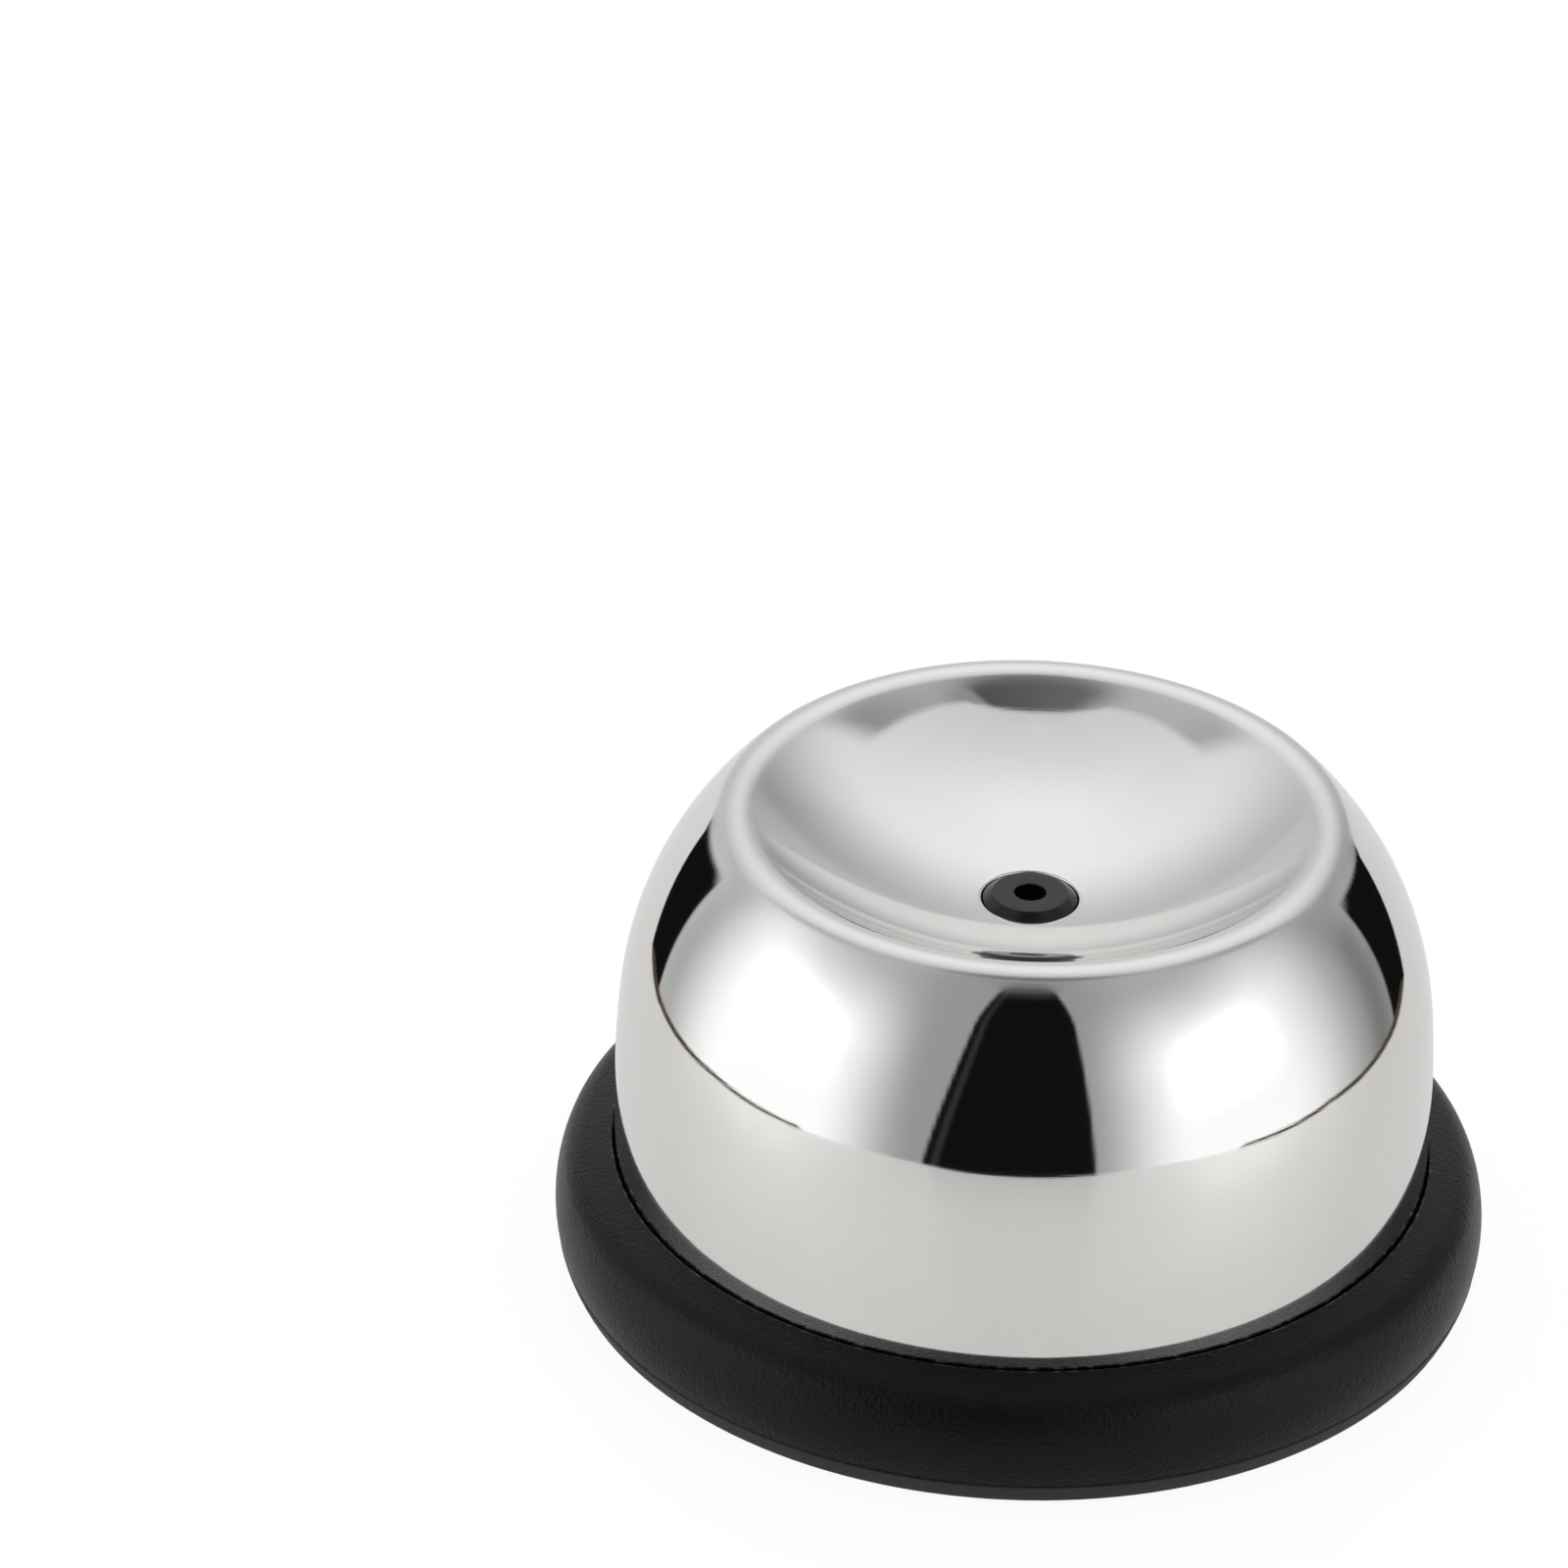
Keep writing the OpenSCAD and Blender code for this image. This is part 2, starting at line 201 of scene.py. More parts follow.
# %% [markdown]
# ## Finishes
# Polished steel is a mirror, so most of what is seen on it is the room. What makes it steel and not
# chrome is a trace of polishing lines around the axis and a little haze. Rubber and plastic are black,
# and only their grain tells them apart. Two shader groups hold these effects, one for metals and one
# for moulded pieces, and each finish places them with its own values.

# %% Shader helpers


def add_node(tree, kind, **inputs):
    """Adds a shader node and sets its inputs; an underscore in a name stands for a space."""
    node = tree.nodes.new("ShaderNode" + kind)
    for name, value in inputs.items():
        socket = node.inputs[name.replace("_", " ")]
        if isinstance(value, bpy.types.NodeSocket):
            tree.links.new(value, socket)
        else:
            socket.default_value = value
    return node


def map_value(tree, value, low, high, from_low=0.3, from_high=0.7):
    """Maps a noise value onto a range of its own."""
    node = add_node(tree, "MapRange", Value=value)
    node.inputs["From Min"].default_value = from_low
    node.inputs["From Max"].default_value = from_high
    node.inputs["To Min"].default_value = low
    node.inputs["To Max"].default_value = high
    return node.outputs["Result"]


def mix_colours(tree, share, first, second):
    node = tree.nodes.new("ShaderNodeMix")
    node.data_type = "RGBA"
    tree.links.new(share, node.inputs["Factor"])
    for name, colour in (("A", first), ("B", second)):
        if isinstance(colour, bpy.types.NodeSocket):
            tree.links.new(colour, node.inputs[name])
        else:
            node.inputs[name].default_value = colour
    return node.outputs["Result"]


def noise(tree, where, scale, detail=3.0, roughness=0.5):
    node = add_node(tree, "TexNoise", Vector=where, Scale=scale, Detail=detail, Roughness=roughness)
    return node.outputs["Fac"]


def axis_distance(tree, point):
    """Distance of a point from the axis of the tool, from the point's sockets X and Y."""
    square_x = add_math(tree, "POWER", point["X"], 2)
    square_y = add_math(tree, "POWER", point["Y"], 2)
    return add_math(tree, "SQRT", add_math(tree, "ADD", square_x, square_y))


print("shader helpers ready")

# %% Group for metals: polishing lines around the axis, and haze
line_drift = 0.4 * MM


def make_polish_group():
    tree = bpy.data.node_groups.new("Polish", "ShaderNodeTree")
    add_socket(tree, "Line Scale", "INPUT", "Float")
    add_socket(tree, "Haze Scale", "INPUT", "Float")
    add_socket(tree, "Lines", "OUTPUT", "Float")
    add_socket(tree, "Haze", "OUTPUT", "Float")
    given = tree.nodes.new("NodeGroupInput").outputs
    made = tree.nodes.new("NodeGroupOutput").inputs
    where = tree.nodes.new("ShaderNodeTexCoord").outputs["Object"]
    point = add_node(tree, "SeparateXYZ", Vector=where).outputs
    radius = axis_distance(tree, point)
    angle = add_math(tree, "ARCTAN2", point["Y"], point["X"])
    drift = add_math(tree, "MULTIPLY", angle, line_drift)
    around = add_node(tree, "CombineXYZ", X=radius, Y=point["Z"], Z=drift).outputs[0]
    lines = noise(tree, around, given["Line Scale"], detail=4, roughness=0.7)
    haze = noise(tree, where, given["Haze Scale"], detail=5, roughness=0.6)
    tree.links.new(lines, made["Lines"])
    tree.links.new(haze, made["Haze"])
    return tree


polish_group = make_polish_group()
print("polish group nodes:", len(polish_group.nodes))

# %% Group for moulded pieces: grain, clouds and dust
dust_scale, dust_core, dust_edge = 900.0, 0.05, 0.13


def make_grain_group():
    tree = bpy.data.node_groups.new("Moulded Grain", "ShaderNodeTree")
    add_socket(tree, "Grain Scale", "INPUT", "Float")
    add_socket(tree, "Cloud Scale", "INPUT", "Float")
    add_socket(tree, "Grain", "OUTPUT", "Float")
    add_socket(tree, "Clouds", "OUTPUT", "Float")
    add_socket(tree, "Dust", "OUTPUT", "Float")
    given = tree.nodes.new("NodeGroupInput").outputs
    made = tree.nodes.new("NodeGroupOutput").inputs
    where = tree.nodes.new("ShaderNodeTexCoord").outputs["Object"]
    grain = noise(tree, where, given["Grain Scale"], detail=2, roughness=0.6)
    clouds = noise(tree, where, given["Cloud Scale"], detail=4, roughness=0.55)
    specks = add_node(tree, "TexVoronoi", Vector=where, Scale=dust_scale, Randomness=1.0)
    dust = map_value(tree, specks.outputs["Distance"], 1.0, 0.0, dust_core, dust_edge)
    tree.links.new(grain, made["Grain"])
    tree.links.new(clouds, made["Clouds"])
    tree.links.new(dust, made["Dust"])
    return tree


grain_group = make_grain_group()
print("grain group nodes:", len(grain_group.nodes))

# %% Materials from the groups
line_depth = 0.02 * MM
cloud_scale = 120.0
grain_share = 0.6


def start_material(name):
    material = bpy.data.materials.new(name)
    material.use_nodes = True
    tree = material.node_tree
    return material, tree, tree.nodes["Principled BSDF"]


def place_group(tree, group, **inputs):
    node = tree.nodes.new("ShaderNodeGroup")
    node.node_tree = group
    for name, value in inputs.items():
        node.inputs[name.replace("_", " ")].default_value = value
    return node.outputs


def add_bump(tree, shader, height, strength, distance):
    bump = add_node(tree, "Bump", Strength=strength, Distance=distance, Height=height)
    tree.links.new(bump.outputs["Normal"], shader.inputs["Normal"])


def make_metal(name, pale, dull, rough, bump, line_scale=5200.0, haze_scale=70.0):
    """A metal between two colours and two roughness values, with lines of its own depth."""
    material, tree, shader = start_material(name)
    effect = place_group(tree, polish_group, Line_Scale=line_scale, Haze_Scale=haze_scale)
    shader.inputs["Metallic"].default_value = 1.0
    share = map_value(tree, effect["Haze"], 0.0, 1.0)
    tree.links.new(mix_colours(tree, share, pale, dull), shader.inputs["Base Color"])
    half_lines = add_math(tree, "MULTIPLY", effect["Lines"], 0.5)
    half_haze = add_math(tree, "MULTIPLY", effect["Haze"], 0.5)
    wear = add_math(tree, "ADD", half_lines, half_haze)
    tree.links.new(map_value(tree, wear, rough[0], rough[1]), shader.inputs["Roughness"])
    add_bump(tree, shader, effect["Lines"], bump, line_depth)
    return material


def make_moulded(name, dark, pale, rough, bump, grain_scale, dust=0.0, gloss=0.5, sheen=0.0):
    """A black moulded material with grain, faint clouds and a little dust."""
    material, tree, shader = start_material(name)
    effect = place_group(tree, grain_group, Grain_Scale=grain_scale, Cloud_Scale=cloud_scale)
    shader.inputs["Specular IOR Level"].default_value = gloss
    shader.inputs["Sheen Weight"].default_value = sheen
    share = map_value(tree, effect["Clouds"], 0.0, 1.0)
    specks = add_math(tree, "MULTIPLY", effect["Dust"], dust)
    shade = add_math(tree, "MINIMUM", add_math(tree, "ADD", share, specks), 1.0)
    tree.links.new(mix_colours(tree, shade, dark, pale), shader.inputs["Base Color"])
    from_grain = add_math(tree, "MULTIPLY", effect["Grain"], grain_share)
    from_clouds = add_math(tree, "MULTIPLY", effect["Clouds"], 1 - grain_share)
    wear = add_math(tree, "ADD", from_grain, from_clouds)
    tree.links.new(map_value(tree, wear, rough[0], rough[1]), shader.inputs["Roughness"])
    add_bump(tree, shader, effect["Grain"], 1.0, bump * MM)
    return material


print("builders for metals and moulded materials ready")

# %% Dust and a painted highlight on an edge, and a satin finish
fleck_scale, fleck_low, fleck_high = 1300.0, 0.5, 0.66
# Colour of the pale flecks, which paint dust and a highlight on the edge
dust_and_highlight_colour = (0.15, 0.145, 0.13, 1)
fleck_solid_w, fleck_w = 0.05, 0.2
fleck_solid_h, fleck_h = 0.1, 0.2


def add_edge_dust_and_highlight(material, radius, height):
    """Pale flecks of dust and painted highlight along an edge of a turned piece, at its radius and
    height.
    """
    tree = material.node_tree
    shader = tree.nodes["Principled BSDF"]
    plain = shader.inputs["Base Color"].links[0].from_socket
    where = tree.nodes.new("ShaderNodeTexCoord").outputs["Object"]
    point = add_node(tree, "SeparateXYZ", Vector=where).outputs
    out = axis_distance(tree, point)
    near = map_value(tree, out, 1.0, 0.0, (radius + fleck_solid_w) * MM, (radius + fleck_w) * MM)
    high = map_value(tree, point["Z"], 0.0, 1.0, (height - fleck_h) * MM, (height - fleck_solid_h) * MM)
    patches = map_value(tree, noise(tree, where, fleck_scale), 0.0, 1.0, fleck_low, fleck_high)
    # The flecks are partly dust and partly a painted highlight along the edge
    share = add_math(tree, "MULTIPLY", add_math(tree, "MULTIPLY", near, high), patches)
    tree.links.new(mix_colours(tree, share, plain, dust_and_highlight_colour), shader.inputs["Base Color"])


def add_satin(material, low, high, roughness):
    """Dulls a polished material above a height, between two heights in millimetres."""
    tree = material.node_tree
    shader = tree.nodes["Principled BSDF"]
    plain = shader.inputs["Roughness"].links[0].from_socket
    where = tree.nodes.new("ShaderNodeTexCoord").outputs["Object"]
    height = add_node(tree, "SeparateXYZ", Vector=where).outputs["Z"]
    satin = map_value(tree, height, 0.0, roughness, low * MM, high * MM)
    tree.links.new(add_math(tree, "MAXIMUM", plain, satin), shader.inputs["Roughness"])


print("flecks and satin ready")

# %% The finishes


def grey(level, blue=1.0):
    return (level, level, level * blue, 1)


polished_steel = make_metal(
    "polished_steel", pale=grey(0.807, 0.985), dull=grey(0.772, 0.985), rough=(0.02, 0.055), bump=0.05
)
spring_steel = make_metal(
    "spring_steel", pale=grey(0.60, 1.02), dull=grey(0.45, 1.02), rough=(0.22, 0.40), bump=0.3
)
needle_steel = make_metal(
    "needle_steel", pale=grey(0.74, 1.01), dull=grey(0.66, 1.01), rough=(0.12, 0.24), bump=0.3
)
screw_steel = make_metal(
    "screw_steel", pale=grey(0.66, 0.97), dull=grey(0.52, 0.97), rough=(0.25, 0.45), bump=0.4
)
turned_brass = make_metal(
    "turned_brass", pale=(0.80, 0.60, 0.28, 1), dull=(0.66, 0.47, 0.20, 1),
    rough=(0.18, 0.36), bump=0.8, line_scale=4000.0
)
black_rubber = make_moulded(
    "black_rubber", dark=grey(0.0015, 1.08), pale=grey(0.0045, 1.05), rough=(0.26, 0.44),
    bump=0.09, grain_scale=3400.0, dust=0.5, gloss=0.17, sheen=0.06
)
guide_plastic = make_moulded(
    "guide_plastic", dark=grey(0.004, 1.07), pale=grey(0.007, 1.04), rough=(0.14, 0.22),
    bump=0.012, grain_scale=4200.0, gloss=0.4
)
base_plastic = make_moulded(
    "base_plastic", dark=grey(0.014, 1.07), pale=grey(0.022, 1.04), rough=(0.5, 0.68),
    bump=0.025, grain_scale=3800.0, dust=0.2
)
inner_plastic = make_moulded(
    "inner_plastic", dark=grey(0.03, 1.07), pale=grey(0.045, 1.07), rough=(0.45, 0.6),
    bump=0.015, grain_scale=3800.0
)
pad_rubber = make_moulded(
    "pad_rubber", dark=grey(0.014), pale=grey(0.028), rough=(0.6, 0.8),
    bump=0.04, grain_scale=1800.0, dust=0.5
)
print("materials:", len(bpy.data.materials))

# %% [markdown]
# ## The steel bell
# The bell is one sheet: a straight wall, a gentle flank, a shoulder, a rolled rim, the dish, and a
# drawn neck with a tight edge around the middle hole. A mirror shows every flaw, so the outline is made
# of arcs that run into each other without a corner, and its points lie close together where the arcs
# are small. The crest of the rim has a satin finish.

# %% Sizes of the bell, in millimetres
bell_r, sheet = 28.4, 0.8
flange_r, bend_r, bell_z = 29.25, 0.4, 5.4
straight_z, flank_r, flank_h = 13.35, 70.0, 7.0
shoulder_r, rim_r, dish_r, dish_z = 24.0, 1.8, 30.3, 28.0
collar_bore_r, collar_r, collar_l = 3.3, 0.3, 1.8
satin_start, satin_full, satin_rough = 0.3 * rim_r, 0.9 * rim_r, 0.28

flank_angle = math.degrees(math.asin(flank_h / flank_r))
flank_c = (bell_r - flank_r, straight_z)
shoulder_c = (
    flank_c[0] + (flank_r - shoulder_r) * math.cos(math.radians(flank_angle)),
    flank_c[1] + (flank_r - shoulder_r) * math.sin(math.radians(flank_angle)),
)
dish_c = (0.0, dish_z + dish_r)
collar_x = collar_bore_r + collar_r
collar_c = (collar_x, dish_c[1] - math.sqrt((dish_r + collar_r) ** 2 - collar_x ** 2))
neck_z = collar_c[1] - collar_l
neck_r = collar_bore_r + sheet


def rim_centre():
    """Centre of the rolled rim, inside the shoulder's circle and outside the dish's circle."""
    inner, outer = shoulder_r - rim_r, dish_r + rim_r
    across = Vector(dish_c) - Vector(shoulder_c)
    unit = across.normalized()
    along = (inner ** 2 - outer ** 2 + across.length ** 2) / (2 * across.length)
    side = math.sqrt(inner ** 2 - along ** 2)
    x = shoulder_c[0] + along * unit.x + side * unit.y
    z = shoulder_c[1] + along * unit.y - side * unit.x
    return (x, z)


rim_c = rim_centre()
print("rim crest at radius %.2f, height %.2f mm" % (rim_c[0], rim_c[1] + rim_r))

# %% Turn the bell


def bell_face(depth, dish_end):
    """One face of the sheet, from the straight wall over the rim to the end of the dish."""
    shoulder_end = heading(shoulder_c, rim_c)
    dish_edge = heading(dish_c, rim_c)
    foot = [(bell_r - depth, bell_z + sheet + bend_r)]
    wall = line(foot[0], (bell_r - depth, straight_z), 10)
    flank = arc(flank_c, flank_r - depth, 0, flank_angle, 10)
    shoulder = arc(shoulder_c, shoulder_r - depth, flank_angle, shoulder_end, 40)[1:]
    rim = arc(rim_c, rim_r - depth, shoulder_end, dish_edge + 180, 24)[1:]
    dish = arc(dish_c, dish_r + depth, dish_edge, dish_end, 44)[1:]
    return foot + wall + flank + shoulder + rim + dish


dish_start = heading(dish_c, collar_c)
neck_start = -math.degrees(math.acos(neck_r / (dish_r + sheet)))
bend_c = (bell_r + bend_r, bell_z + sheet + bend_r)
bell_outline = [(flange_r, bell_z), (flange_r, bell_z + sheet)]
bell_outline += arc(bend_c, bend_r, 270, 180, 6)[:-1]
bell_outline += bell_face(0, dish_start)
bell_outline += arc(collar_c, collar_r, dish_start + 180, 180, 8)[1:]
bell_outline += [(collar_bore_r, neck_z), (neck_r, neck_z)]
bell_outline += bell_face(sheet, neck_start)[::-1]
bell_outline += arc(bend_c, bend_r + sheet, 180, 270, 8)[1:]
add_satin(polished_steel, rim_c[1] + satin_start, rim_c[1] + satin_full, satin_rough)
bell = turn("bell", bell_outline, polished_steel, 256)
fit(bell, "bell", "steel_bell")

# %% [markdown]
# ## The needle guide
# The black piece in the middle of the dish is a small plastic bush. Its flat face has a bevel all
# round, and its corners are just broken, so that each catches a thin line of light. Below the dish it
# has a flange for the spring, and a sleeve that slides on the brass post.

# %% Turn the guide
guide_r, guide_top, bevel_w, bevel_h = 3.25, 28.55, 0.65, 0.48
hole_r, corner_round = 1.1, 0.08
guide_flange_r, guide_flange_t = 6.3, 1.5
sleeve_in_r, sleeve_out_r, sleeve_l, narrow_below = 2.3, 3.6, 11.5, 2.2
guide_flange_z = neck_z - guide_flange_t
sleeve_z = guide_flange_z - sleeve_l
narrow_z = guide_flange_z - narrow_below
bevel_angle = math.degrees(math.atan2(bevel_w, bevel_h))


def soft_corner(corner, start, end):
    """A corner of the outline, rounded between the headings of its two sides."""
    turned = math.radians(end - start) / 2
    middle = math.radians((start + end) / 2)
    back = corner_round / math.cos(turned)
    centre = (corner[0] - back * math.cos(middle), corner[1] - back * math.sin(middle))
    return arc(centre, corner_round, start, end, 6)


guide_outline = [(sleeve_out_r, sleeve_z), (sleeve_out_r, guide_flange_z)]
guide_outline += [(guide_flange_r, guide_flange_z), (guide_flange_r, neck_z), (guide_r, neck_z)]
guide_outline += soft_corner((guide_r, guide_top - bevel_h), 0, bevel_angle)
guide_outline += soft_corner((guide_r - bevel_w, guide_top), bevel_angle, 90)
guide_outline += soft_corner((hole_r, guide_top), 90, 180)
guide_outline += [(hole_r, narrow_z), (sleeve_in_r, narrow_z), (sleeve_in_r, sleeve_z)]
guide = turn("guide", guide_outline, guide_plastic, 128)
fit(guide, "bell", "needle_guide")

# %% [markdown]
# ## The base
# The side of the rubber ring is part of an oval, and its top slopes up to a sharp lip just short of the
# bell, where pale flecks paint dust and a highlight on the edge. The edge of the plastic base shows
# under it as a thin strip.
# A step as thin as paper between the two catches the light as a fine line.

# %% Turn the rubber ring
ring_r, bead_a, bead_b, bead_z = 32.5, 3.3, 5.2, 3.75
bead_turn, bead_round = 35.0, 2.6
joint_z, joint_gap, joint_round, foot_gap = 1.8, 0.03, 0.12, 0.3
lip_r, lip_z, ring_top, lip_round, ring_in_r = 28.55, 7.35, 8.7, 0.1, 31.0
bead_c = (ring_r - bead_a, bead_z)


def bead_point(angle):
    a = math.radians(angle)
    return (bead_c[0] + bead_a * math.cos(a), bead_c[1] + bead_b * math.sin(a))


def bead_angle(height):
    return math.degrees(math.asin((height - bead_c[1]) / bead_b))


def bead_arc(start, end, steps):
    return [bead_point(start + (end - start) * i / steps) for i in range(steps + 1)]


def ring_top_points():
    """The rounded shoulder of the ring, its sloping top and the edge of its lip."""
    turn_angle = math.radians(bead_turn)
    side_normal = math.atan2(math.sin(turn_angle) / bead_b, math.cos(turn_angle) / bead_a)
    side_end = bead_point(bead_turn)
    round_c = (
        side_end[0] - bead_round * math.cos(side_normal),
        side_end[1] - bead_round * math.sin(side_normal),
    )
    reach = math.dist(round_c, (lip_r, ring_top))
    top_normal = heading(round_c, (lip_r, ring_top)) - math.degrees(math.acos(bead_round / reach))
    slope = math.radians(90 - top_normal)
    lip_c = (lip_r + lip_round, ring_top - lip_round * (math.tan(slope) + 1 / math.cos(slope)))
    shoulder = arc(round_c, bead_round, math.degrees(side_normal), top_normal, 20)[1:]
    lip = arc(lip_c, lip_round, top_normal, 180, 8)
    return shoulder + line(shoulder[-1], lip[0], 12) + lip


ring_foot = bead_point(bead_angle(joint_z + joint_round))
ring_outline = [(ring_in_r, joint_z + joint_gap), (ring_foot[0] - joint_round, joint_z + joint_gap)]
ring_outline += bead_arc(bead_angle(joint_z + joint_round), bead_turn, 40)
ring_outline += ring_top_points()
ring_outline += [(lip_r, lip_z), (ring_in_r, lip_z)]
ring = turn("rubber_ring", ring_outline, black_rubber, 192)
fit(ring, "base", "base_ring")
# Pale flecks on the lip: dust, and a painted highlight on its edge
add_edge_dust_and_highlight(black_rubber, lip_r, ring_top)

# %% Turn the plastic base
floor_top, pad_top, boss_r, boss_top = 2.3, 1.0, 4.1, 5.0
channel_top, channel_in_r, wall_in_r, wall_out_r, retainer_z = 1.5, 27.3, 29.5, 30.3, 6.3
spigot_r, spigot_z, screw_hole_r, screw_seat = 1.75, 3.55, 1.2, 2.35
head_hole_r, pad_hole_r = 2.1, 26.05
skirt_l, snap, snap_room = 2.0, 0.2, 0.25
snap_z = retainer_z - skirt_l * 2 / 3
strip_out, edge_round, edge_break_h, edge_break_w = 0.05, 0.15, 0.08, 0.1

strip_start = bead_angle(foot_gap + edge_round)
strip_end = bead_angle(joint_z - edge_break_h)
strip = [(r + strip_out, z) for r, z in bead_arc(strip_start, strip_end, 12)]
base_outline = [(head_hole_r, pad_top), (pad_hole_r, pad_top), (pad_hole_r, foot_gap)]
base_outline += [(strip[0][0] - edge_round, foot_gap)]
base_outline += strip + [(strip[-1][0] - edge_break_w, joint_z)]
base_outline += [(wall_out_r, joint_z), (wall_out_r, snap_z - snap_room), (wall_out_r - snap, snap_z)]
base_outline += [(wall_out_r, snap_z + snap_room), (wall_out_r, retainer_z), (wall_in_r, retainer_z)]
base_outline += [(wall_in_r, channel_top), (channel_in_r, channel_top), (channel_in_r, floor_top)]
base_outline += [(boss_r, floor_top), (boss_r, boss_top), (spigot_r, boss_top), (spigot_r, spigot_z)]
base_outline += [(screw_hole_r, spigot_z), (screw_hole_r, screw_seat), (head_hole_r, screw_seat)]
base = turn("plastic_base", base_outline, base_plastic, 160)
fit(base, "base", "base_body")

# %% Ribs on the floor of the base


def make_rib_tree():
    tree = bpy.data.node_groups.new("Ribs", "GeometryNodeTree")
    add_socket(tree, "Start", "INPUT", "Geometry")
    add_socket(tree, "Count", "INPUT", "Int")
    add_socket(tree, "Middle Radius", "INPUT", "Float")
    add_socket(tree, "Rib Size", "INPUT", "Vector")
    add_socket(tree, "Lift", "INPUT", "Vector")
    add_socket(tree, "Finish", "INPUT", "Material")
    add_socket(tree, "Ribs", "OUTPUT", "Geometry")
    link = tree.links.new
    given = tree.nodes.new("NodeGroupInput").outputs
    circle = tree.nodes.new("GeometryNodeMeshCircle")
    link(given["Count"], circle.inputs["Vertices"])
    link(given["Middle Radius"], circle.inputs["Radius"])
    rib = tree.nodes.new("GeometryNodeMeshCube")
    link(given["Rib Size"], rib.inputs["Size"])
    outward = tree.nodes.new("FunctionNodeAlignRotationToVector")
    outward.axis = "X"
    outward.pivot_axis = "Z"
    link(tree.nodes.new("GeometryNodeInputPosition").outputs[0], outward.inputs["Vector"])
    copies = tree.nodes.new("GeometryNodeInstanceOnPoints")
    link(circle.outputs[0], copies.inputs["Points"])
    link(rib.outputs[0], copies.inputs["Instance"])
    link(outward.outputs[0], copies.inputs["Rotation"])
    realize = tree.nodes.new("GeometryNodeRealizeInstances")
    link(copies.outputs[0], realize.inputs[0])
    lift = tree.nodes.new("GeometryNodeTransform")
    link(realize.outputs[0], lift.inputs["Geometry"])
    link(given["Lift"], lift.inputs["Translation"])
    paint = tree.nodes.new("GeometryNodeSetMaterial")
    link(lift.outputs[0], paint.inputs["Geometry"])
    link(given["Finish"], paint.inputs["Material"])
    link(paint.outputs[0], tree.nodes.new("NodeGroupOutput").inputs[0])
    return tree


rib_in_r, rib_out_r, rib_t, rib_h = 7.4, 26.3, 1.2, 1.6
rib_sizes = {
    "Count": 6,
    "Middle Radius": (rib_in_r + rib_out_r) / 2 * MM,
    "Rib Size": ((rib_out_r - rib_in_r) * MM, rib_t * MM, rib_h * MM),
    "Lift": (0.0, 0.0, (floor_top + rib_h / 2) * MM),
    "Finish": base_plastic,
}
rib_start = bpy.data.meshes.new("rib_start")
ribs = smooth(run_tree("base_ribs", make_rib_tree(), rib_start, rib_sizes))
fit(ribs, "base", "base_body")

# %% Retaining ring and non-slip pad
retainer_t, retainer_in_r, skirt_in_r, skirt_out_r = 1.0, 28.7, 30.35, 30.95
skirt_z = retainer_z - skirt_l
retainer_top = retainer_z + retainer_t
retainer_outline = [(retainer_in_r, retainer_z), (retainer_in_r, retainer_top)]
retainer_outline += [(skirt_out_r, retainer_top), (skirt_out_r, skirt_z)]
retainer_outline += [(skirt_in_r, skirt_z), (skirt_in_r, snap_z - snap)]
retainer_outline += [(skirt_in_r - snap, snap_z), (skirt_in_r, snap_z + snap), (skirt_in_r, retainer_z)]
retainer = turn("retainer", retainer_outline, inner_plastic, 128)
fit(retainer, "base", "retaining_ring")

pad_r, pad_round = 26.0, 0.2
pad_outline = [(0.0, 0.0)] + arc((pad_r - pad_round, pad_round), pad_round, -90, 0, 5)
pad_outline += arc((pad_r - pad_round, pad_top - pad_round), pad_round, 0, 90, 5) + [(0.0, pad_top)]
pad = turn("pad", pad_outline, pad_rubber, 128)
fit(pad, "base", "non_slip_pad")

# %% [markdown]
# ## Needle, brass post and spring
# These are hidden while the bell is up, but the needle comes out when it is pressed. The post is turned
# brass with a chamfer at its top. The spring follows a rule along its wire, so Geometry Nodes wind it:
# each point of a line gets its angle and height from its number, and the end turns lie close together.

# %% Turn the post and the needle
stroke, post_room, point_depth, needle_set = 3.5, 0.8, 0.9, 8.0
post_r, post_z, post_flange_r, needle_r, point_l = 2.2, 6.0, 3.2, 0.45, 2.6
post_top = narrow_z - stroke - post_room
needle_z = post_top - needle_set
needle_tip = guide_top - point_depth
post_bore_r, thread_r, thread_end, spigot_out_r, post_edge = 0.47, 1.02, 7.85, 1.7, 0.3
post_foot = 3.6

post_outline = [(thread_r, post_foot), (spigot_out_r, post_foot)]
post_outline += [(spigot_out_r, boss_top), (post_flange_r, boss_top)]
post_outline += [(post_flange_r, post_z), (post_r, post_z), (post_r, post_top - post_edge)]
post_outline += [(post_r - post_edge, post_top), (post_bore_r, post_top), (post_bore_r, needle_z)]
post_outline += [(0.0, needle_z), (0.0, thread_end), (thread_r, thread_end)]
post = turn("brass_post", post_outline, turned_brass, 64)
fit(post, "base", "needle_holder")

belly_r, belly_l = 0.62 * needle_r, 0.52 * point_l
tip_r, tip_l = 0.03, 0.04
needle_outline = [(0.0, needle_z), (needle_r, needle_z), (needle_r, needle_tip - point_l)]
needle_outline += [(belly_r, needle_tip - belly_l), (tip_r, needle_tip - tip_l), (0.0, needle_tip)]
needle = turn("needle_pin", needle_outline, needle_steel, 32)
fit(needle, "base", "needle")

# %% Wind the spring


